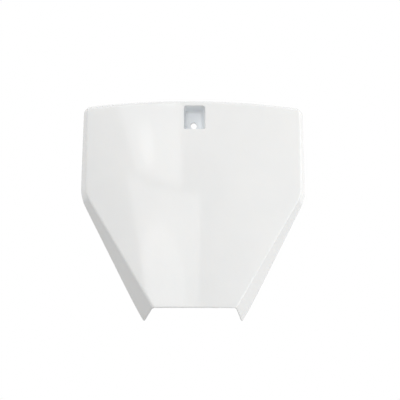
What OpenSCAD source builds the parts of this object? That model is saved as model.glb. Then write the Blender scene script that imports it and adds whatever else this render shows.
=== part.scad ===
// Front number board of an off-road racing motorbike, moulded in one piece.
// A bowed face runs over a rolled edge into skirts that lean outward and reach back.
// The skirts are shallow at the top and deep along the slanted sides, where they end in two legs.
// One screw in a sunk pocket holds the board at the top, and two pegs behind it hold it low down.
// X points to the right, Y backward and Z up, as the board is mounted.
// The origin lies where the screw's axis meets the floor of the pocket.

/* [Face] */
// Width across the shoulders, the widest places of the face
face_w = 222.4; // [190:0.2:250]
// Distance by which each top corner lies inward of the shoulder below it
corner_inset = 0.8; // [0:0.2:20]
// Width of the straight lower edge, between the legs
face_low_w = 83.6; // [50:0.2:110]
// Height of the face from its lower edge to the middle of its top edge
face_h = 212.6; // [185:0.2:250]
// Height of the shoulders above the lower edge
shoulder_h = 118; // [90:0.2:145]
// Rise of the arched top edge from its corners to its middle
top_rise = 5.4; // [2:0.2:14]
// Radius of the two top corners
corner_r = 4.5; // [2:0.5:15]
// Radius of the outline at the shoulders
shoulder_r = 32; // [8:1:50]

/* [Bow of the face] */
// Radius of the face from side to side at its top edge
bow_top_r = 620; // [400:10:1500]
// Radius of the face from side to side at its lower edge
bow_low_r = 260; // [220:10:800]
// Radius of the face from top to bottom
bow_tall_r = 1500; // [900:50:4000]

/* [Shell] */
// Wall thickness of the face and the skirts
wall = 2.2; // [1.6:0.1:3]
// Radius of the rolled edge between the face and the skirts
edge_r = 3; // [1.5:0.1:4]
// Angle by which the skirts lean outward from straight back
flare = 19; // [8:1:32]
// Depth of the skirt at the middle of the top edge
skirt_top_d = 7; // [5:0.5:12]
// Depth of the skirts at the top corners
skirt_corner_d = 11; // [6:0.5:20]
// Depth of the skirts at the shoulders
skirt_shoulder_d = 16.5; // [8:0.5:30]
// Depth of the skirts at the legs
skirt_leg_d = 41; // [20:0.5:50]
// Length by which the legs reach past the lower edge, along the slanted sides
leg_run = 5.2; // [2:0.2:20]
// Length of the slanted side over which the legs are drawn out
leg_blend = 60; // [25:1:90]

/* [Screw pocket] */
// Distance of the screw's axis below the middle of the top edge
screw_drop = 22.1; // [22:0.1:35]
// Width of the pocket at the face
pocket_w = 22; // [16:0.2:40]
// Height of the pocket above the screw's axis, at the face
pocket_up = 18.2; // [12:0.2:18.6]
// Depth of the pocket below the screw's axis, at the face
pocket_down = 6.4; // [6:0.1:10]
// Depth of the pocket from the face to its floor, at the screw
pocket_d = 16; // [8:0.5:22]
// Lean of the pocket's side walls, from the face to the floor
pocket_side_draft = 2; // [0:0.1:3]
// Lean of the pocket's ceiling, from the face to the floor
pocket_top_draft = 3; // [0:0.1:6]
// Lean of the pocket's lower wall, from the face to the floor
pocket_low_draft = 0.4; // [0:0.1:1]
// Radius of the pocket's top corners
pocket_top_r = 2.8; // [1.2:0.1:4]
// Radius of the pocket's lower corners
pocket_low_r = 1.4; // [0.6:0.1:3]
// Thickness of the pocket's walls and floor
pocket_wall = 2; // [1.5:0.1:3]
// Diameter of the screw's hole
screw_hole_d = 6.4; // [4:0.1:7]
// Width of the ring behind the floor, round the screw's hole
collar_w = 2.4; // [1.5:0.1:4]
// Thickness of the ring behind the floor
collar_t = 1.6; // [0.5:0.1:4]

/* [Ribs] */
// Thickness of the ribs
rib_t = 1.8; // [1.2:0.1:3]
// Length of the pocket's ribs along the face
rib_run = 15; // [6:1:30]
// Spacing of the two ribs on each side of the pocket
rib_gap = 12; // [6:0.5:14]

/* [Pegs] */
// Distance between the two pegs
peg_span = 44; // [30:1:52]
// Height of the pegs above the lower edge
peg_up = 26; // [16:1:60]
// Diameter of the pegs
peg_d = 8; // [5:0.5:10]
// Length of the pegs behind the face
peg_len = 18; // [14:1:30]
// Bevel at the tip of the pegs
peg_bevel = 1.2; // [0.5:0.1:2]
// Diameter of the thick foot of each peg
peg_foot_d = 13; // [11:0.5:14]
// Height of that foot behind the face
peg_foot_t = 6; // [3:0.5:10]

/* [Hidden] */
$fn = 48;
// Steps round each corner of the pocket
QUARTER_STEPS = 5;

// Steps of the mesh along half the outline: top, corner, side, shoulder and slanted side
TOP_STEPS = 10;
CORNER_STEPS = 6;
SIDE_STEPS = 5;
SHOULDER_STEPS = 6;
SLANT_STEPS = 12;
// Places of the mesh's rows across the face, as shares of the way from the lower edge's middle
FACE_ROWS = [0.12, 0.3, 0.48, 0.66, 0.83, 1];
// Steps of the mesh round the rolled edge and down the skirt
EDGE_STEPS = 5;
SKIRT_STEPS = 4;
// How the cut at the end of a leg curves from the face to the tip
LEG_CURVE = 1.15;
// Length by which a cut or a foot runs past the surface that it meets
OVERRUN = 2;
// Share of the wall at which the pieces behind the face begin, so that they grow from inside it
ROOT = 0.5;
// Share of the wall by which the middle of the rim stands out past its two edges
NOSE = 0.33;
// Smallest radius inside the rolled edge
INNER_R = 0.4;

top_z = screw_drop;
low_z = screw_drop - face_h;
face_top_w = face_w - 2 * corner_inset;
shoulder_z = low_z + shoulder_h;
corner_z = top_z - top_rise;
middle_z = (top_z + low_z) / 2;
top_arc_r = (pow(face_top_w / 2, 2) + pow(top_rise, 2)) / (2 * top_rise);

function mix(a, b, t) = a + (b - a) * t;
function clamp(t) = min(1, max(0, t));

// Bow of the face: its curvature from side to side grows toward the lower edge
function curve_at(z) = mix(1 / bow_low_r, 1 / bow_top_r, (z - low_z) / face_h);
function curve_growth() = (1 / bow_top_r - 1 / bow_low_r) / face_h;
function face_y(x, z) = -pocket_d + curve_at(z) * x * x / 2
    + (pow(z - middle_z, 2) - pow(middle_z, 2)) / (2 * bow_tall_r);
function slope_x(x, z) = curve_at(z) * x;
function slope_z(x, z) = curve_growth() * x * x / 2 + (z - middle_z) / bow_tall_r;
function face_back_y(x, z) =
    face_y(x, z) + wall * sqrt(1 + pow(slope_x(x, z), 2) + pow(slope_z(x, z), 2));

// Outline of the crease on the right, as points with the angle of their outward normal
corner_pt = [face_top_w / 2, corner_z];
shoulder_pt = [face_w / 2, shoulder_z];
low_pt = [face_low_w / 2, low_z];
arch_end_x = face_top_w / 2 - 2 * corner_r;
function arch_z(x) = top_z - top_arc_r + sqrt(top_arc_r * top_arc_r - x * x);
arch_end = [arch_end_x, arch_z(arch_end_x)];

// Angle of the outward normal of a line that runs from a to b, down the right side
function normal_of(a, b) = atan2(b.x - a.x, a.y - b.y);
corner_from = normal_of(arch_end, corner_pt);
side_normal = normal_of(corner_pt, shoulder_pt);
slant_normal = normal_of(shoulder_pt, low_pt);

// Points of a rounding of radius r at the corner p, between two normals
function rounding(p, r, from, to, steps) =
    let (half = (from - to) / 2, mid = (from + to) / 2,
        c = p - r / cos(half) * [cos(mid), sin(mid)])
    [for (k = [0:steps]) let (n = mix(from, to, k / steps)) [c.x + r * cos(n), c.y + r * sin(n), n]];

top_pts = [for (k = [0:TOP_STEPS]) let (x = arch_end_x * k / TOP_STEPS)
    [x, arch_z(x), 90 - asin(x / top_arc_r)]];
corner_pts = rounding(corner_pt, corner_r, corner_from, side_normal, CORNER_STEPS);
shoulder_pts = rounding(shoulder_pt, shoulder_r, side_normal, slant_normal, SHOULDER_STEPS);
side_start = corner_pts[CORNER_STEPS];
side_end = shoulder_pts[0];
slant_start = shoulder_pts[SHOULDER_STEPS];
side_pts = [for (k = [1:SIDE_STEPS - 1]) mix(side_start, side_end, k / SIDE_STEPS)];
slant_pts = [for (k = [1:SLANT_STEPS])
    let (p = mix([slant_start.x, slant_start.y], low_pt, k / SLANT_STEPS)) [p.x, p.y, slant_normal]];
half_line = concat(top_pts, corner_pts, side_pts, shoulder_pts, slant_pts);
LAST = len(half_line) - 1;
crease = concat(
    [for (k = [LAST:-1:1]) let (p = half_line[k]) [-p.x, p.y, 180 - p.z]],
    half_line);
POINTS = len(crease);

// Depth of the skirt behind each place of the crease
function skirt_depth(x, z) =
    z > corner_z - corner_r
        ? mix(skirt_top_d, skirt_corner_d, clamp(pow(x / (face_top_w / 2), 2)))
    : z > shoulder_z
        ? mix(skirt_shoulder_d, skirt_corner_d, (z - shoulder_z) / (corner_z - corner_r - shoulder_z))
    : mix(skirt_leg_d, skirt_shoulder_d, clamp((z - low_z) / shoulder_h));

// How much of the leg's run a place of the crease takes part in: all at its end, none above
slant_len = norm([shoulder_pt.x - low_pt.x, shoulder_h]);
function leg_share(z) =
    pow(clamp(1 - (z - low_z) / shoulder_h * slant_len / leg_blend), 2);
// Shift along the slanted side of a point that lies u outside the crease
function leg_shift(u, z, reach) = leg_share(z)
    * (u < 0 ? -u * tan(-slant_normal) : leg_run * pow(u / reach, LEG_CURVE));

// Section through the shell at one place of the crease, from the face over the rim and back,
// as points with their distance outside the crease and their depth
function section(x, z, n) =
    let (lean = atan(slope_x(x, z) * cos(n) + slope_z(x, z) * sin(n)),
        turn = 90 - flare - lean,
        depth = skirt_depth(x, z),
        y0 = face_y(x, z),
        along_face = [cos(lean), sin(lean)],
        face_in = [-sin(lean), cos(lean)],
        along_skirt = [sin(flare), cos(flare)],
        skirt_in = [-cos(flare), sin(flare)],
        inner = wall * (face_in + skirt_in) / (1 + face_in * skirt_in),
        inner_r = max(INNER_R, edge_r - wall),
        outer_c = [0, y0] - along_face * edge_r * tan(turn / 2) + face_in * edge_r,
        inner_c = [0, y0] + inner - along_face * inner_r * tan(turn / 2) + face_in * inner_r,
        rim = [0, y0] + along_skirt * depth / cos(flare),
        outer_edge = arc_pts(outer_c, edge_r, lean, turn),
        inner_edge = arc_pts(inner_c, inner_r, lean, turn),
        rim_in = rim + skirt_in * wall,
        nose = (rim + rim_in) / 2 + along_skirt * wall * NOSE)
    concat(outer_edge, steps_between(outer_edge[EDGE_STEPS], rim),
        [nose],
        turned(concat(inner_edge, steps_between(inner_edge[EDGE_STEPS], rim_in))));

function arc_pts(c, r, lean, turn) =
    [for (k = [0:EDGE_STEPS]) let (a = lean + turn * k / EDGE_STEPS) c + r * [sin(a), -cos(a)]];
function steps_between(a, b) = [for (k = [1:SKIRT_STEPS]) mix(a, b, k / SKIRT_STEPS)];
function turned(v) = [for (k = [len(v) - 1:-1:0]) v[k]];

// A point of the section, set out in space
function placed(p, x, z, n, reach) =
    let (s = leg_shift(p.x, z, reach), side = x < 0 ? -1 : 1,
        way = [-side * sin(-slant_normal), -cos(slant_normal)])
    [x + p.x * cos(n) + s * way.x, p.y, z + p.x * sin(n) + s * way.y];

function on_face(p, t) = [p.x * t, face_y(p.x * t, mix(low_z, p.z, t)), mix(low_z, p.z, t)];
function behind_face(p, t) =
    [p.x * t, face_back_y(p.x * t, mix(low_z, p.z, t)), mix(low_z, p.z, t)];

// One row of the mesh: across the face, round the edge, down the skirt and back inside
FACE_LAST = len(FACE_ROWS) - 2;
function mesh_row(c) =
    let (flat = section(c.x, c.y, c.z),
        reach = skirt_depth(c.x, c.y) * tan(flare),
        solid = [for (p = flat) placed(p, c.x, c.y, c.z, reach)],
        last = len(solid) - 1)
    concat(
        [for (k = [0:FACE_LAST]) on_face(solid[0], FACE_ROWS[k])],
        solid,
        [for (k = [FACE_LAST:-1:0]) behind_face(solid[last], FACE_ROWS[k])]);

rows = [for (c = crease) mesh_row(c)];
ROW = len(rows[0]);
HALF_ROW = (ROW - 1) / 2;
FRONT_MIDDLE = POINTS * ROW;
BACK_MIDDLE = FRONT_MIDDLE + 1;

function at(i, j) = i * ROW + j;
function quad(a, b, c, d) = [[a, b, c], [a, c, d]];
function joined(lists) = [for (l = lists) each l];

// Closing strip at one end of the outline, along the lower edge and the end of a leg
function end_strip(i) = concat(
    quad(FRONT_MIDDLE, at(i, 0), at(i, ROW - 1), BACK_MIDDLE),
    joined([for (j = [0:HALF_ROW - 2])
        quad(at(i, j), at(i, j + 1), at(i, ROW - 2 - j), at(i, ROW - 1 - j))]),
    [[at(i, HALF_ROW - 1), at(i, HALF_ROW), at(i, HALF_ROW + 1)]]);
function flipped(faces) = [for (f = faces) [f[2], f[1], f[0]]];

module shell() {
    points = concat(joined(rows),
        [[0, face_y(0, low_z), low_z], [0, face_back_y(0, low_z), low_z]]);
    around = joined([for (i = [0:POINTS - 2], j = [0:ROW - 2])
        quad(at(i, j), at(i, j + 1), at(i + 1, j + 1), at(i + 1, j))]);
    front_fan = [for (i = [0:POINTS - 2]) [FRONT_MIDDLE, at(i, 0), at(i + 1, 0)]];
    back_fan = [for (i = [0:POINTS - 2]) [BACK_MIDDLE, at(i + 1, ROW - 1), at(i, ROW - 1)]];
    polyhedron(points, concat(around, front_fan, back_fan,
        flipped(end_strip(0)), end_strip(POINTS - 1)), convexity = 6);
}

// Outline of the pocket at a share t of its depth, from the face to the floor, widened by grow
function pocket_outline(t, grow) =
    let (half = pocket_w / 2 - t * pocket_side_draft + grow,
        top = pocket_up - t * pocket_top_draft + grow,
        low = -pocket_down + t * pocket_low_draft - grow,
        top_r = pocket_top_r + grow,
        low_r = pocket_low_r + grow)
    concat(
        quarter([half - low_r, low + low_r], low_r, -90),
        quarter([half - top_r, top - top_r], top_r, 0),
        quarter([top_r - half, top - top_r], top_r, 90),
        quarter([low_r - half, low + low_r], low_r, 180));
function quarter(c, r, from) =
    [for (k = [0:QUARTER_STEPS]) let (a = from + 90 * k / QUARTER_STEPS) c + r * [cos(a), sin(a)]];

// Closed solid between a front and a back outline of as many points
module lofted(front, back) {
    n = len(front);
    sides = joined([for (k = [0:n - 1]) let (m = (k + 1) % n) quad(k, m, n + m, n + k)]);
    polyhedron(concat(front, back, [middle_of(front), middle_of(back)]), concat(
        sides,
        [for (k = [0:n - 1]) [2 * n, (k + 1) % n, k]],
        [for (k = [0:n - 1]) [2 * n + 1, n + k, n + (k + 1) % n]]));
}
function middle_of(v) = [for (axis = [0:2]) (min([for (p = v) p[axis]]) + max([for (p = v) p[axis]])) / 2];

// Walls and floor of the pocket as a solid block, grown out of the back of the face
module pocket_block() {
    lofted(
        [for (p = pocket_outline(0, pocket_wall)) [p.x, face_y(p.x, p.y) + wall * ROOT, p.y]],
        [for (p = pocket_outline(1, pocket_wall)) [p.x, pocket_wall, p.y]]);
}

// Hollow of the pocket, which opens in the face
module pocket_hollow() {
    lofted(
        [for (p = pocket_outline(-OVERRUN / pocket_d, 0)) [p.x, -pocket_d - OVERRUN, p.y]],
        [for (p = pocket_outline(1, 0)) [p.x, 0, p.y]]);
}

// Ring behind the floor, round the screw
module collar() {
    translate([0, pocket_wall / 2, 0]) rotate([-90, 0, 0])
        cylinder(h = pocket_wall / 2 + collar_t, d = screw_hole_d + 2 * collar_w);
}

module screw_hole() {
    translate([0, -OVERRUN, 0]) rotate([-90, 0, 0])
        cylinder(h = pocket_wall + collar_t + 2 * OVERRUN, d = screw_hole_d);
}

// A thin plate of the given outline, which lies across Z at the height z
module plate(outline, z) {
    translate([0, 0, z - rib_t / 2]) linear_extrude(rib_t) polygon(outline);
}

// Three-cornered ribs that tie the pocket's sides to the back of the face
module pocket_ribs() {
    inner_x = pocket_w / 2 - pocket_side_draft;
    outer_x = pocket_w / 2 + pocket_wall + rib_run;
    middle = (pocket_up - pocket_top_draft - pocket_down + pocket_low_draft) / 2;
    for (side = [-1, 1], k = [-1, 1]) {
        z = middle + k * rib_gap / 2;
        plate([
            [side * (inner_x + pocket_wall / 2), 0],
            [side * (pocket_w / 2 + pocket_wall / 2), face_y(pocket_w / 2, z) + wall * ROOT],
            [side * outer_x, face_y(outer_x, z) + wall * ROOT],
            [side * outer_x, face_back_y(outer_x, z) + rib_t / 2]
        ], z);
    }
}

// One peg on its thick foot, which stands on the back of the face
module peg(x, z) {
    foot = face_back_y(x, z);
    root = face_y(x, z) + wall * ROOT - foot;
    translate([x, foot, z]) rotate([-90, 0, 0]) {
        translate([0, 0, root]) cylinder(h = peg_foot_t - root, d = peg_foot_d);
        cylinder(h = peg_len - peg_bevel, d = peg_d);
        translate([0, 0, peg_len - peg_bevel])
            cylinder(h = peg_bevel, d1 = peg_d, d2 = peg_d - 2 * peg_bevel);
    }
}

module number_board() {
    color("white") difference() {
        union() {
            shell();
            pocket_block();
            collar();
            pocket_ribs();
            for (side = [-1, 1]) peg(side * peg_span / 2, low_z + peg_up);
        }
        pocket_hollow();
        screw_hole();
    }
}

number_board();
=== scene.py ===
"""The dressed model of a moulded front number board: its fine surface, plastic, light and camera."""
from math import asin, atan, atan2, cos, hypot, pi, radians, sin, sqrt, tan

import bmesh
import bpy
from mathutils import Matrix, Quaternion, Vector


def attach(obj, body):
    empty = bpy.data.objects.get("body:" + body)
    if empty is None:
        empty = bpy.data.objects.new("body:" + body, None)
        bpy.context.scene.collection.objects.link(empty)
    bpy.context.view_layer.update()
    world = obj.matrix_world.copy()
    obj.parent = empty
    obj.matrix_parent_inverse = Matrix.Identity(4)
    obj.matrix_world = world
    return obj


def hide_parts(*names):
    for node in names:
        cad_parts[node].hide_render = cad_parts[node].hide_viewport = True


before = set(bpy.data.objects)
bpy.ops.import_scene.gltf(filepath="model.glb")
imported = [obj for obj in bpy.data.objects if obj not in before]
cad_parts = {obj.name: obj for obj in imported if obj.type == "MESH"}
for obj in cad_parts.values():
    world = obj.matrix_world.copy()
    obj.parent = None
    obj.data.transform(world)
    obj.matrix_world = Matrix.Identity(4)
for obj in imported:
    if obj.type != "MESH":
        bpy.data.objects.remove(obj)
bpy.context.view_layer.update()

MM = 0.001
NODE = "number_board"

# Sizes of the board, in millimetres, as the part's source has them
FACE_W, FACE_TOP_W, FACE_LOW_W = 222.4, 220.8, 83.6
FACE_H, SHOULDER_H, TOP_RISE = 212.6, 118.0, 5.4
CORNER_R, SHOULDER_R = 4.5, 32.0
BOW_TOP_R, BOW_LOW_R, BOW_TALL_R = 620.0, 260.0, 1500.0
WALL, EDGE_R, FLARE = 2.2, 3.0, radians(19)
SKIRT_TOP_D, SKIRT_CORNER_D, SKIRT_SHOULDER_D, SKIRT_LEG_D = 7.0, 11.0, 16.5, 41.0
LEG_RUN, LEG_BLEND = 5.2, 60.0
SCREW_DROP = 22.1
POCKET_W, POCKET_UP, POCKET_DOWN, POCKET_D = 22.0, 18.2, 6.4, 16.0
POCKET_SIDE_DRAFT, POCKET_TOP_DRAFT, POCKET_LOW_DRAFT = 2.0, 3.0, 0.4
POCKET_TOP_R, POCKET_LOW_R, POCKET_WALL = 2.8, 1.4, 2.0
SCREW_HOLE_D, COLLAR_W, COLLAR_T = 6.4, 2.4, 1.6
RIB_T, RIB_RUN, RIB_GAP = 1.8, 15.0, 12.0
PEG_SPAN, PEG_UP, PEG_D, PEG_LEN, PEG_BEVEL = 44.0, 26.0, 8.0, 18.0, 1.2
PEG_FOOT_D, PEG_FOOT_T = 13.0, 6.0

# The part's power that curves the end of a leg, and its shares of the wall for the rim and for roots
LEG_CURVE, NOSE, ROOT = 1.15, 0.33, 0.5

# Steps of the fine mesh
TOP_STEPS, CORNER_STEPS, SIDE_STEPS, SHOULDER_STEPS, SLANT_STEPS = 36, 12, 16, 14, 30
FACE_STEPS, EDGE_STEPS, SKIRT_STEPS, NOSE_STEPS = 28, 8, 16, 4
QUARTER_STEPS, ROUND_STEPS, ROUNDING_STEPS, LIP_STEPS = 10, 48, 6, 6

# Fine forms that the dressed model adds, in millimetres
WINDOW_ROUND, FLOOR_ROUND, LEAST_ROUND = 0.7, 2.4, 0.3
LIP_ROUND, LIP_DROP = 1.1, 1.3
EDGE_RAISE, LEG_MORE = 0.5, 0.6
WEB_T, WEB_SUNK = 2.2, 0.05
HOLE_FRONT, HOLE_FRONT_DEEP, HOLE_BACK = 0.5, 1.3, 0.3
FOOT_BEVEL = 0.6

# Leg tips: share of the reach where the blunt end starts, how strongly it falls back, and the
# share by which the tip is drawn in; then the powers that ease in the leg's run and that draw
TIP_START, TIP_DROP, TIP_DRAW = 0.84, 6.0, 0.08
LEG_EASE, DRAW_EASE = 2, 3

# Length in millimetres by which a cutter runs past a surface
OVERRUN = 2.0

# Mesh limits: lengths in metres that are merged or taken out, the most corners that a face keeps,
# and the angle from which an edge is sharp
MERGE_M, SLIVER_M = 1e-7, 2e-6
MOST_CORNERS = 4
SHARP_ANGLE = radians(32)

TOP_Z = SCREW_DROP
LOW_Z = SCREW_DROP - FACE_H
EDGE_Z = LOW_Z + EDGE_RAISE
END_Z = EDGE_Z + LIP_DROP
SHOULDER_Z = LOW_Z + SHOULDER_H
CORNER_Z = TOP_Z - TOP_RISE
MIDDLE_Z = (TOP_Z + LOW_Z) / 2
TOP_ARC_R = ((FACE_TOP_W / 2) ** 2 + TOP_RISE ** 2) / (2 * TOP_RISE)


def mix(a, b, t):
    return a + (b - a) * t


def clamp(t):
    return min(1.0, max(0.0, t))


# Surface of the face

def curve_at(z):
    """Curvature of the face from side to side, at a height."""
    return mix(1 / BOW_LOW_R, 1 / BOW_TOP_R, (z - LOW_Z) / FACE_H)


CURVE_GROWTH = (1 / BOW_TOP_R - 1 / BOW_LOW_R) / FACE_H


def face_y(x, z):
    """Place of the front of the face: bowed from side to side and a little from top to bottom."""
    across = curve_at(z) * x * x / 2
    upright = ((z - MIDDLE_Z) ** 2 - MIDDLE_Z ** 2) / (2 * BOW_TALL_R)
    return -POCKET_D + across + upright


def slopes(x, z):
    """Slopes of the face from side to side and upwards."""
    return curve_at(z) * x, CURVE_GROWTH * x * x / 2 + (z - MIDDLE_Z) / BOW_TALL_R


def face_back_y(x, z):
    """Place of the back of the face's wall."""
    sx, sz = slopes(x, z)
    return face_y(x, z) + WALL * sqrt(1 + sx * sx + sz * sz)


# Outline of the crease between the face and the skirts

def arch_z(x):
    """Height of the arched top."""
    return TOP_Z - TOP_ARC_R + sqrt(TOP_ARC_R ** 2 - x * x)


def normal_of(a, b):
    """Angle of the outward normal of a line from a to b, down the right side."""
    return atan2(b[0] - a[0], a[1] - b[1])


def rounding(p, r, start, end, steps):
    """Points of a rounding of radius r at the corner p, between two normals."""
    half, mid = (start - end) / 2, (start + end) / 2
    cx = p[0] - r / cos(half) * cos(mid)
    cz = p[1] - r / cos(half) * sin(mid)
    turn = [mix(start, end, k / steps) for k in range(steps + 1)]
    return [(cx + r * cos(n), cz + r * sin(n), n) for n in turn]


def between(a, b, steps):
    """Points on the line between two outline points, without its ends."""
    return [tuple(mix(p, q, k / steps) for p, q in zip(a, b)) for k in range(1, steps)]


def crease_line():
    """The whole crease from the left leg over the top to the right leg: x, z and normal."""
    corner = (FACE_TOP_W / 2, CORNER_Z)
    shoulder = (FACE_W / 2, SHOULDER_Z)
    low = (FACE_LOW_W / 2, LOW_Z)
    arch_end = FACE_TOP_W / 2 - 2 * CORNER_R
    side_n, slant_n = normal_of(corner, shoulder), normal_of(shoulder, low)
    corner_n = normal_of((arch_end, arch_z(arch_end)), corner)
    top = []
    for k in range(TOP_STEPS + 1):
        x = arch_end * k / TOP_STEPS
        top.append((x, arch_z(x), pi / 2 - asin(x / TOP_ARC_R)))
    bend = rounding(corner, CORNER_R, corner_n, side_n, CORNER_STEPS)
    hip = rounding(shoulder, SHOULDER_R, side_n, slant_n, SHOULDER_STEPS)
    end = (low[0] - (END_Z - LOW_Z) * tan(slant_n), END_Z, slant_n)
    half = (top + bend + between(bend[-1], hip[0], SIDE_STEPS) + hip
            + between(hip[-1], end, SLANT_STEPS) + [end])
    left = [(-x, z, pi - n) for x, z, n in reversed(half[1:])]
    return left + half, slant_n


CREASE, SLANT_N = crease_line()


def skirt_depth(x, z):
    """Depth of the skirt, which grows from the top down to the legs."""
    if z > CORNER_Z - CORNER_R:
        return mix(SKIRT_TOP_D, SKIRT_CORNER_D, clamp((x / (FACE_TOP_W / 2)) ** 2))
    if z > SHOULDER_Z:
        share = (z - SHOULDER_Z) / (CORNER_Z - CORNER_R - SHOULDER_Z)
        return mix(SKIRT_SHOULDER_D, SKIRT_CORNER_D, share)
    return mix(SKIRT_LEG_D, SKIRT_SHOULDER_D, clamp((z - LOW_Z) / SHOULDER_H))


SLANT_LEN = hypot((FACE_W - FACE_LOW_W) / 2, SHOULDER_H)


def leg_share(z):
    """How much of the leg's run a place of the crease takes part in."""
    return clamp(1 - (z - LOW_Z) / SHOULDER_H * SLANT_LEN / LEG_BLEND) ** LEG_EASE


def leg_shift(u, z, reach):
    """Shift along the slanted side of a point that lies u outside the crease."""
    share = leg_share(z)
    if u < 0:
        return share * -u * tan(-SLANT_N)
    out = u / reach
    blunt = TIP_DROP * max(0.0, out - TIP_START) ** 2
    return share * (LEG_RUN + LEG_MORE) * (out ** LEG_CURVE - blunt)


def arc(c, r, lean, turn):
    """Rolled edge: an arc that starts along the leaning face."""
    steps = [lean + turn * k / EDGE_STEPS for k in range(EDGE_STEPS + 1)]
    return [c + r * Vector((sin(a), -cos(a))) for a in steps]


def section(x, z, n):
    """Section through the shell at one place of the crease, over the rim and back inside."""
    sx, sz = slopes(x, z)
    lean = atan(sx * cos(n) + sz * sin(n))
    turn = pi / 2 - FLARE - lean
    at = Vector((0, face_y(x, z)))
    along_face, face_in = Vector((cos(lean), sin(lean))), Vector((-sin(lean), cos(lean)))
    along_skirt, skirt_in = Vector((sin(FLARE), cos(FLARE))), Vector((-cos(FLARE), sin(FLARE)))
    inner = WALL * (face_in + skirt_in) / (1 + face_in.dot(skirt_in))
    inner_r = EDGE_R - WALL
    outer_c = at + EDGE_R * (face_in - along_face * tan(turn / 2))
    inner_c = at + inner + inner_r * (face_in - along_face * tan(turn / 2))
    rim = at + along_skirt * skirt_depth(x, z) / cos(FLARE)
    outer, back = arc(outer_c, EDGE_R, lean, turn), arc(inner_c, inner_r, lean, turn)
    middle = rim + skirt_in * WALL / 2
    nose = []
    for k in range(1, NOSE_STEPS * 2):
        a = pi * k / (NOSE_STEPS * 2)
        nose.append(middle - skirt_in * cos(a) * WALL / 2 + along_skirt * sin(a) * WALL * NOSE)
    down = [outer[-1].lerp(rim, k / SKIRT_STEPS) for k in range(1, SKIRT_STEPS + 1)]
    rim_in = rim + skirt_in * WALL
    up = [back[-1].lerp(rim_in, k / SKIRT_STEPS) for k in range(1, SKIRT_STEPS + 1)]
    return outer + down + nose + list(reversed(back + up))


def placed(p, x, z, n, reach):
    """A point of the section, set out in space."""
    shift = leg_shift(p.x, z, reach)
    side = -1 if x < 0 else 1
    out = p.x * (1 - TIP_DRAW * leg_share(z) ** DRAW_EASE)
    return Vector((x + out * cos(n) + shift * side * sin(SLANT_N), p.y,
                   z + out * sin(n) - shift * cos(SLANT_N)))


def shell_mesh():
    """The face and skirts as one closed mesh."""
    shares = [k / FACE_STEPS for k in range(1, FACE_STEPS)]
    verts, row_len = [], 0
    for x, z, n in CREASE:
        reach = skirt_depth(x, z) * tan(FLARE)
        solid = [placed(p, x, z, n, reach) for p in section(x, z, n)]
        front = [(solid[0].x * t, mix(END_Z, solid[0].z, t)) for t in shares]
        back = [(solid[-1].x * t, mix(END_Z, solid[-1].z, t)) for t in reversed(shares)]
        row = [Vector((a, face_y(a, b), b)) for a, b in front] + solid
        row += [Vector((a, face_back_y(a, b), b)) for a, b in back]
        row_len = len(row)
        verts += row
    rows = len(CREASE)
    front_middle, back_middle = len(verts), len(verts) + 1
    verts += [Vector((0, face_y(0, END_Z), END_Z)), Vector((0, face_back_y(0, END_Z), END_Z))]
    faces = []
    for i in range(rows - 1):
        a, b = i * row_len, (i + 1) * row_len
        faces += [(a + j, b + j, b + j + 1, a + j + 1) for j in range(row_len - 1)]
        faces.append((front_middle, b, a))
        faces.append((back_middle, a + row_len - 1, b + row_len - 1))
    for i, side in ((0, -1), (rows - 1, 1)):
        a = i * row_len
        faces += lip([front_middle, *range(a, a + row_len), back_middle], side, verts)
    return verts, faces


def lip(line, side, verts):
    """Rounded edge of the wall at one end of the crease, below the line of vertices given."""
    last = len(line) - 1
    half = last // 2
    end_x = abs(CREASE[0][0])
    levels = [line]
    for k in range(1, LIP_STEPS + 1):
        a = pi / 2 * k / LIP_STEPS
        level = []
        for j in range(last + 1):
            p, q = verts[line[j]], verts[line[last - j]]
            r = min(LIP_ROUND, (q - p).length / 2)
            drop = LIP_DROP * r / LIP_ROUND
            out = Vector((side * tan(SLANT_N) * clamp(abs(p.x) / end_x), 0, -1))
            level.append(len(verts))
            verts.append(p + (q - p).normalized() * r * (1 - cos(a)) + out * drop * sin(a))
        levels.append(level)
    faces = []
    for upper, lower in zip(levels, levels[1:]):
        faces += [(upper[j], upper[j + 1], lower[j + 1], lower[j]) for j in range(last)]
    end = levels[-1]
    return faces + [(end[j], end[j + 1], end[last - 1 - j], end[last - j]) for j in range(half)]


def mesh_object(name, verts, faces):
    """Object from millimetres; a face that names a vertex twice keeps it once."""
    mesh = bpy.data.meshes.new(name)
    mesh.from_pydata([Vector(v) * MM for v in verts], [], [dict.fromkeys(face) for face in faces])
    mesh.validate()
    bm = bmesh.new()
    bm.from_mesh(mesh)
    bmesh.ops.remove_doubles(bm, verts=bm.verts, dist=MERGE_M)
    bmesh.ops.recalc_face_normals(bm, faces=bm.faces)
    bm.to_mesh(mesh)
    bm.free()
    obj = bpy.data.objects.new(name, mesh)
    bpy.context.scene.collection.objects.link(obj)
    return obj


def quarter(cx, cz, r, start):
    """Quarter of a circle, from an angle in degrees."""
    angles = [radians(start + 90 * k / QUARTER_STEPS) for k in range(QUARTER_STEPS + 1)]
    return [(cx + r * cos(a), cz + r * sin(a)) for a in angles]


def pocket_outline(t, grow):
    """Outline of the pocket at a share t of its depth, widened by grow."""
    half = POCKET_W / 2 - t * POCKET_SIDE_DRAFT + grow
    top = POCKET_UP - t * POCKET_TOP_DRAFT + grow
    low = -POCKET_DOWN + t * POCKET_LOW_DRAFT - grow
    r, low_r = (max(LEAST_ROUND, size + grow) for size in (POCKET_TOP_R, POCKET_LOW_R))
    return (quarter(half - low_r, low + low_r, low_r, -90) + quarter(half - r, top - r, r, 0)
            + quarter(r - half, top - r, r, 90) + quarter(low_r - half, low + low_r, low_r, 180))


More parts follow.
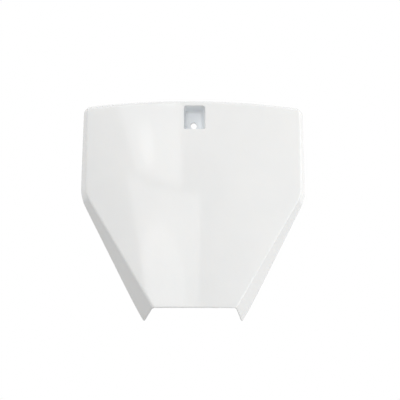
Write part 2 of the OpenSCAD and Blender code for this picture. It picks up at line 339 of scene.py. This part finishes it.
def lofted(name, loops):
    """Closed solid through a row of outlines of as many points."""
    n = len(loops[0])
    verts = [p for loop in loops for p in loop]
    faces = []
    for i in range(len(loops) - 1):
        a, b = i * n, (i + 1) * n
        faces += [(a + k, a + (k + 1) % n, b + (k + 1) % n, b + k) for k in range(n)]
    faces += [tuple(range(n)), tuple(range(len(verts) - 1, len(verts) - n - 1, -1))]
    return mesh_object(name, verts, faces)


def round_solid(name, centre, profile):
    """Turned solid along Y: profile gives (y, radius) pairs from front to back."""
    loops = []
    for y, r in profile:
        angles = [2 * pi * k / ROUND_STEPS for k in range(ROUND_STEPS)]
        loops.append([(centre[0] + r * cos(a), y, centre[1] + r * sin(a)) for a in angles])
    return lofted(name, loops)


def plate(name, outline, z):
    """Flat rib with an outline in x and y, at a height z."""
    low, high = z - RIB_T / 2, z + RIB_T / 2
    return lofted(name, [[(x, y, h) for x, y in outline] for h in (low, high)])


def combine(target, other, operation):
    """Boolean of two solids; the second one is used up."""
    mod = target.modifiers.new(operation, "BOOLEAN")
    mod.operation = operation
    mod.solver = "EXACT"
    mod.object = other
    depsgraph = bpy.context.evaluated_depsgraph_get()
    mesh = bpy.data.meshes.new_from_object(target.evaluated_get(depsgraph))
    target.modifiers.clear()
    target.data = mesh
    bpy.data.objects.remove(other)


def pocket_block():
    """Walls and floor of the pocket as a solid block, grown out of the back of the face."""
    return lofted("pocket", [
        [(x, face_y(x, z) + WALL * ROOT, z) for x, z in pocket_outline(0, POCKET_WALL)],
        [(x, POCKET_WALL, z) for x, z in pocket_outline(1, POCKET_WALL)]])


def pocket_hollow():
    """Hollow of the pocket: its edge rounds over into the face and its floor is coved."""
    loops = [[(x, face_y(x, z) - OVERRUN, z) for x, z in pocket_outline(0, WINDOW_ROUND)]]
    for k in range(ROUNDING_STEPS + 1):
        a = pi / 2 * k / ROUNDING_STEPS
        line = pocket_outline(0, WINDOW_ROUND * (1 - sin(a)))
        drop = WINDOW_ROUND * (1 - cos(a))
        loops.append([(x, face_y(x, z) + drop, z) for x, z in line])
    for k in range(ROUNDING_STEPS + 1):
        a = pi / 2 * k / ROUNDING_STEPS
        y = -FLOOR_ROUND * (1 - sin(a))
        line = pocket_outline(1 + y / POCKET_D, -FLOOR_ROUND * (1 - cos(a)))
        loops.append([(x, y, z) for x, z in line])
    return lofted("pocket_space", loops)


def screw_hole():
    """Cutter for the screw's hole, with a bevel at each end."""
    r, back = SCREW_HOLE_D / 2, POCKET_WALL + COLLAR_T
    return round_solid("screw_hole", (0, 0), [
        (-OVERRUN, r + HOLE_FRONT), (0, r + HOLE_FRONT), (HOLE_FRONT_DEEP, r),
        (back - HOLE_BACK, r), (back, r + HOLE_BACK), (back + OVERRUN, r + HOLE_BACK + OVERRUN)])


def peg(x, z):
    """Peg with its thick foot, rooted in the wall of the face."""
    foot = face_back_y(x, z)
    root, tip = face_y(x, z) + WALL * ROOT, foot + PEG_LEN
    r, wide = PEG_D / 2, PEG_FOOT_D / 2
    return round_solid("peg", (x, z), [
        (root, wide), (foot + PEG_FOOT_T - FOOT_BEVEL, wide),
        (foot + PEG_FOOT_T, wide - FOOT_BEVEL), (foot + PEG_FOOT_T, r),
        (tip - PEG_BEVEL, r), (tip, r - PEG_BEVEL)])


def edge_web():
    """Web that closes the bow of the face's lower edge, with a straight back.

    It is sunk a little behind the wall's own edges, so that no two faces lie in one plane.
    """
    half = FACE_LOW_W / 2 - EDGE_R
    low, high = EDGE_Z + WEB_SUNK, EDGE_Z + WEB_T
    back = face_back_y(half, low) - WEB_SUNK
    xs = [mix(-half, half, k / FACE_STEPS) for k in range(FACE_STEPS + 1)]
    outline = [(x, face_y(x, low) + WALL / 2) for x in xs] + [(half, back), (-half, back)]
    return lofted("web", [[(x, y, z) for x, y in outline] for z in (low, high)])


def pocket_ribs():
    """Four gusset ribs between the pocket's sides and the back of the face."""
    inner_x = POCKET_W / 2 - POCKET_SIDE_DRAFT
    outer_x = POCKET_W / 2 + POCKET_WALL + RIB_RUN
    middle = (POCKET_UP - POCKET_TOP_DRAFT - POCKET_DOWN + POCKET_LOW_DRAFT) / 2
    for side in (-1, 1):
        for k in (-1, 1):
            z = middle + k * RIB_GAP / 2
            yield plate("rib", [
                (side * (inner_x + POCKET_WALL / 2), 0),
                (side * (POCKET_W / 2 + POCKET_WALL / 2), face_y(POCKET_W / 2, z) + WALL * ROOT),
                (side * outer_x, face_y(outer_x, z) + WALL * ROOT),
                (side * outer_x, face_back_y(outer_x, z) + RIB_T / 2)], z)


def clean(obj):
    """Takes out the slivers that the booleans leave, before and after large faces are cut up."""
    bm = bmesh.new()
    bm.from_mesh(obj.data)
    bmesh.ops.dissolve_degenerate(bm, dist=SLIVER_M, edges=bm.edges)
    bmesh.ops.triangulate(bm, faces=[face for face in bm.faces if len(face.verts) > MOST_CORNERS])
    bmesh.ops.dissolve_degenerate(bm, dist=SLIVER_M, edges=bm.edges)
    bm.to_mesh(obj.data)
    bm.free()


def smooth(obj):
    """Smooth shading with sharp edges where the surface really turns."""
    for face in obj.data.polygons:
        face.use_smooth = True
    obj.data.set_sharp_from_angle(angle=SHARP_ANGLE)


def make_board():
    """The whole moulding, joined into one closed mesh."""
    board = mesh_object("board", *shell_mesh())
    combine(board, pocket_block(), "UNION")
    collar = round_solid("collar", (0, 0), [
        (POCKET_WALL / 2, SCREW_HOLE_D / 2 + COLLAR_W),
        (POCKET_WALL + COLLAR_T, SCREW_HOLE_D / 2 + COLLAR_W)])
    combine(board, collar, "UNION")
    for rib in pocket_ribs():
        combine(board, rib, "UNION")
    for side in (-1, 1):
        combine(board, peg(side * PEG_SPAN / 2, LOW_Z + PEG_UP), "UNION")
    combine(board, edge_web(), "UNION")
    combine(board, pocket_hollow(), "DIFFERENCE")
    combine(board, screw_hole(), "DIFFERENCE")
    clean(board)
    smooth(board)
    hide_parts(NODE)
    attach(board, "root")
    return board


# Plastic: tints, a painted bluish shade in the pocket, light that enters it, and relief, with depths in
# metres

TINT_LOW = (0.84, 0.845, 0.84, 1)
TINT_HIGH = (0.87, 0.87, 0.86, 1)
# Painted shade: the bluish cast of the pocket's hollow, mixed in deeper into the pocket
POCKET_PAINTED_SHADE = (0.83, 0.855, 0.875, 1)
IOR = 1.49
SUBSURFACE, SUBSURFACE_RADIUS, SUBSURFACE_SCALE_M = 0.12, (1.0, 0.9, 0.8), 0.002
BUMP_STRENGTH, WAVE_DEPTH_M, SKIN_DEPTH_M = 0.06, 0.002, 0.00008

# Noises: scale, detail and roughness of each, the span of its values in use, and what sheen they set

TINT_NOISE, TINT_SPAN = (14, 3, 0.5), (0.35, 0.65)
SHEEN_NOISE, SHEEN_SPAN, SHEEN = (60, 4, 0.6), (0.3, 0.7), (0.06, 0.09)
WAVE_NOISE = (22, 1, 0.5)
SKIN_NOISE = (1400, 2, 0.5)


def noise(tree, coord, scale, detail, rough):
    node = tree.nodes.new("ShaderNodeTexNoise")
    node.inputs["Scale"].default_value = scale
    node.inputs["Detail"].default_value = detail
    node.inputs["Roughness"].default_value = rough
    tree.links.new(coord, node.inputs["Vector"])
    return node.outputs["Fac"]


def ranged(tree, value, span, out=(0, 1)):
    """The value, stretched from one span of numbers to another."""
    node = tree.nodes.new("ShaderNodeMapRange")
    for name, number in zip(("From Min", "From Max", "To Min", "To Max"), (*span, *out)):
        node.inputs[name].default_value = number
    tree.links.new(value, node.inputs["Value"])
    return node.outputs["Result"]


def bump(tree, height, distance, normal=None):
    """Relief of a height, laid over the relief that the normal carries."""
    node = tree.nodes.new("ShaderNodeBump")
    node.inputs["Strength"].default_value = BUMP_STRENGTH
    node.inputs["Distance"].default_value = distance
    tree.links.new(height, node.inputs["Height"])
    if normal:
        tree.links.new(normal, node.inputs["Normal"])
    return node.outputs["Normal"]


def maths(tree, operation, *values):
    """Result of a Math node, whose inputs are sockets or numbers."""
    node = tree.nodes.new("ShaderNodeMath")
    node.operation = operation
    for socket, value in zip(node.inputs, values):
        if isinstance(value, (int, float)):
            socket.default_value = value
        else:
            tree.links.new(value, socket)
    return node.outputs[0]


def painted_shade_in_pocket(tree, coord):
    """Mask of the painted bluish shade: it grows from the mouth of the pocket to its floor, and is none
    elsewhere.
    """
    axes = tree.nodes.new("ShaderNodeSeparateXYZ")
    tree.links.new(coord, axes.inputs[0])
    x, y, z = axes.outputs
    high = maths(tree, "SUBTRACT", z, MM * (POCKET_UP - POCKET_DOWN) / 2)
    depth = ranged(tree, y, (-MM * POCKET_D, -MM * POCKET_D / 2))
    inside = maths(tree, "LESS_THAN", maths(tree, "ABSOLUTE", x),
                   MM * (POCKET_W / 2 + WINDOW_ROUND))
    near = maths(tree, "LESS_THAN", maths(tree, "ABSOLUTE", high),
                 MM * ((POCKET_UP + POCKET_DOWN) / 2 + WINDOW_ROUND))
    front = maths(tree, "LESS_THAN", y, MM * POCKET_WALL / 2)
    return maths(tree, "MULTIPLY", maths(tree, "MULTIPLY", inside, near),
                 maths(tree, "MULTIPLY", front, depth))


def plastic():
    """White moulded polypropylene: faint waves, a fine skin, a slightly uneven sheen, and a painted
    bluish shade in the pocket.
    """
    mat = bpy.data.materials.new("white_plastic")
    mat.use_nodes = True
    tree = mat.node_tree
    shader = tree.nodes["Principled BSDF"]
    coord = tree.nodes.new("ShaderNodeTexCoord").outputs["Object"]
    tint = tree.nodes.new("ShaderNodeMixRGB")
    tint.inputs["Color1"].default_value = TINT_LOW
    tint.inputs["Color2"].default_value = TINT_HIGH
    tree.links.new(ranged(tree, noise(tree, coord, *TINT_NOISE), TINT_SPAN), tint.inputs["Fac"])
    # Painted shade: the pocket's bluish cast, mixed over the tint from the mouth of the pocket inwards
    painted_shade = tree.nodes.new("ShaderNodeMixRGB")
    painted_shade.inputs["Color2"].default_value = POCKET_PAINTED_SHADE
    tree.links.new(painted_shade_in_pocket(tree, coord), painted_shade.inputs["Fac"])
    tree.links.new(tint.outputs["Color"], painted_shade.inputs["Color1"])
    tree.links.new(painted_shade.outputs["Color"], shader.inputs["Base Color"])
    tree.links.new(ranged(tree, noise(tree, coord, *SHEEN_NOISE), SHEEN_SPAN, SHEEN),
                   shader.inputs["Roughness"])
    shader.inputs["IOR"].default_value = IOR
    shader.inputs["Subsurface Weight"].default_value = SUBSURFACE
    shader.inputs["Subsurface Radius"].default_value = SUBSURFACE_RADIUS
    shader.inputs["Subsurface Scale"].default_value = SUBSURFACE_SCALE_M
    waves = bump(tree, noise(tree, coord, *WAVE_NOISE), WAVE_DEPTH_M)
    skin = bump(tree, noise(tree, coord, *SKIN_NOISE), SKIN_DEPTH_M, waves)
    tree.links.new(skin, shader.inputs["Normal"])
    return mat


# Floor and world, in metres

FLOOR_Z, FLOOR_HALF = -0.60, 6.0
FLOOR_GREY, FLOOR_WHITE = (0.45, 0.45, 0.45, 1), (0.92, 0.92, 0.92, 1)
FLOOR_ROUGH = 0.9
WHITE = (1, 1, 1, 1)
WORLD_LIGHT = 0.70


def seen_directly(tree):
    """Factor that is one for the camera, for reflections and for what shines through."""
    path = tree.nodes.new("ShaderNodeLightPath").outputs
    mirrored = maths(tree, "MAXIMUM", path["Is Camera Ray"], path["Is Glossy Ray"])
    return maths(tree, "MAXIMUM", mirrored, path["Is Transmission Ray"])


def make_world():
    """World that is white where it is seen, and dimmer for the light that it gives."""
    world = bpy.data.worlds.new("studio")
    bpy.context.scene.world = world
    world.use_nodes = True
    tree = world.node_tree
    tree.nodes.clear()
    out = tree.nodes.new("ShaderNodeOutputWorld")
    seen = tree.nodes.new("ShaderNodeBackground")
    seen.inputs["Color"].default_value = WHITE
    lit = tree.nodes.new("ShaderNodeBackground")
    lit.inputs["Color"].default_value = WHITE
    lit.inputs["Strength"].default_value = WORLD_LIGHT
    both = tree.nodes.new("ShaderNodeMixShader")
    tree.links.new(seen_directly(tree), both.inputs["Fac"])
    tree.links.new(lit.outputs[0], both.inputs[1])
    tree.links.new(seen.outputs[0], both.inputs[2])
    tree.links.new(both.outputs[0], out.inputs["Surface"])


def paper():
    """Matt floor: white where it is seen, and grey for the light that it throws back up."""
    mat = bpy.data.materials.new("floor")
    mat.use_nodes = True
    tree = mat.node_tree
    tint = tree.nodes.new("ShaderNodeMixRGB")
    tint.inputs["Color1"].default_value = FLOOR_GREY
    tint.inputs["Color2"].default_value = FLOOR_WHITE
    tree.links.new(seen_directly(tree), tint.inputs["Fac"])
    shader = tree.nodes["Principled BSDF"]
    tree.links.new(tint.outputs["Color"], shader.inputs["Base Color"])
    shader.inputs["Roughness"].default_value = FLOOR_ROUGH
    return mat


def make_floor():
    corners = [(x * FLOOR_HALF, y * FLOOR_HALF, FLOOR_Z) for x, y in ((-1, -1), (1, -1), (1, 1), (-1, 1))]
    mesh = bpy.data.meshes.new("floor")
    mesh.from_pydata(corners, [], [range(len(corners))])
    floor = bpy.data.objects.new("floor", mesh)
    bpy.context.scene.collection.objects.link(floor)
    mesh.materials.append(paper())


# Lamps: name, shape, place from the board's middle and size in metres, power in watts, and turn

BOARD_MIDDLE = Vector((0, 0, -0.08))
GLINT_LOW_PLACE = (-0.44, -2.08, -0.18)
LAMPS = (
    ("key", "RECTANGLE", (-0.92, -1.72, 1.36), (2.0, 0.6), 8.8),
    ("fill_right", "RECTANGLE", (2.08, -0.6, 0.5), (2.0, 2.0), 16.4),
    ("side_right", "RECTANGLE", (2.0, 0.1, -0.05), (2.4, 1.8), 3.8),
    ("low_right", "RECTANGLE", (0.45, 0.0, -0.42), (0.6, 0.4), 0.85),
    ("panel_high", "RECTANGLE", (-0.36, -2.06, 0.765), (0.60, 0.70), 1.95),
    ("glint_high", "ELLIPSE", (-0.46, -2.05, 0.59), (0.15, 0.25), 0.13, radians(-24)),
    ("panel_low", "RECTANGLE", (-0.31, -2.08, -0.02), (0.96, 0.79), 3.0),
    ("glint_low_wide", "ELLIPSE", GLINT_LOW_PLACE, (0.75, 0.75), 1.3),
    ("glint_low_middle", "ELLIPSE", GLINT_LOW_PLACE, (0.48, 0.48), 0.75),
    ("glint_low_core", "ELLIPSE", GLINT_LOW_PLACE, (0.25, 0.25), 0.20),
)


def make_lamp(name, shape, place, size, power, turn=0):
    """Area lamp that faces the board's middle, turned about its own axis."""
    data = bpy.data.lights.new(name, "AREA")
    data.shape = shape
    data.size, data.size_y = size
    data.energy = power
    lamp = bpy.data.objects.new(name, data)
    lamp.location = BOARD_MIDDLE + Vector(place)
    facing = (-Vector(place)).to_track_quat("-Z", "Y") @ Quaternion((0, 0, 1), turn)
    lamp.rotation_euler = facing.to_euler()
    bpy.context.scene.collection.objects.link(lamp)


# Camera at the photograph's viewing angle: its turn, then in metres its distance, the point that it
# is aimed at and its shift across and up

YAW, PITCH, ROLL = radians(-2.43), radians(-8.9), radians(-0.12)
DISTANCE = 1.5
AIM = Vector((0, 0, -0.081))
OFFSET = (0.00619, 0.00309)
PX_PER_M = 971.5
FRAME_PX = 400
SENSOR_MM = 36.0


def make_camera():
    """Camera whose yaw, pitch and roll were fitted to the photograph's outline."""
    right = Vector((cos(YAW), sin(YAW), 0))
    forward = Vector((-sin(YAW) * cos(PITCH), cos(YAW) * cos(PITCH), -sin(PITCH)))
    up = right.cross(forward)
    turned_right = cos(ROLL) * right + sin(ROLL) * up
    turned_up = cos(ROLL) * up - sin(ROLL) * right
    eye = AIM + turned_right * OFFSET[0] + turned_up * OFFSET[1] - forward * DISTANCE
    data = bpy.data.cameras.new("camera")
    data.sensor_width = SENSOR_MM
    data.lens = PX_PER_M * DISTANCE / FRAME_PX * SENSOR_MM
    camera = bpy.data.objects.new("camera", data)
    basis = Matrix((turned_right, turned_up, -forward)).transposed()
    camera.matrix_world = Matrix.Translation(eye) @ basis.to_4x4()
    bpy.context.scene.collection.objects.link(camera)
    bpy.context.scene.camera = camera


make_camera()
board = make_board()
board.data.materials.append(plastic())
make_world()
make_floor()
for lamp in LAMPS:
    make_lamp(*lamp)
bpy.context.scene.view_settings.view_transform = "Standard"
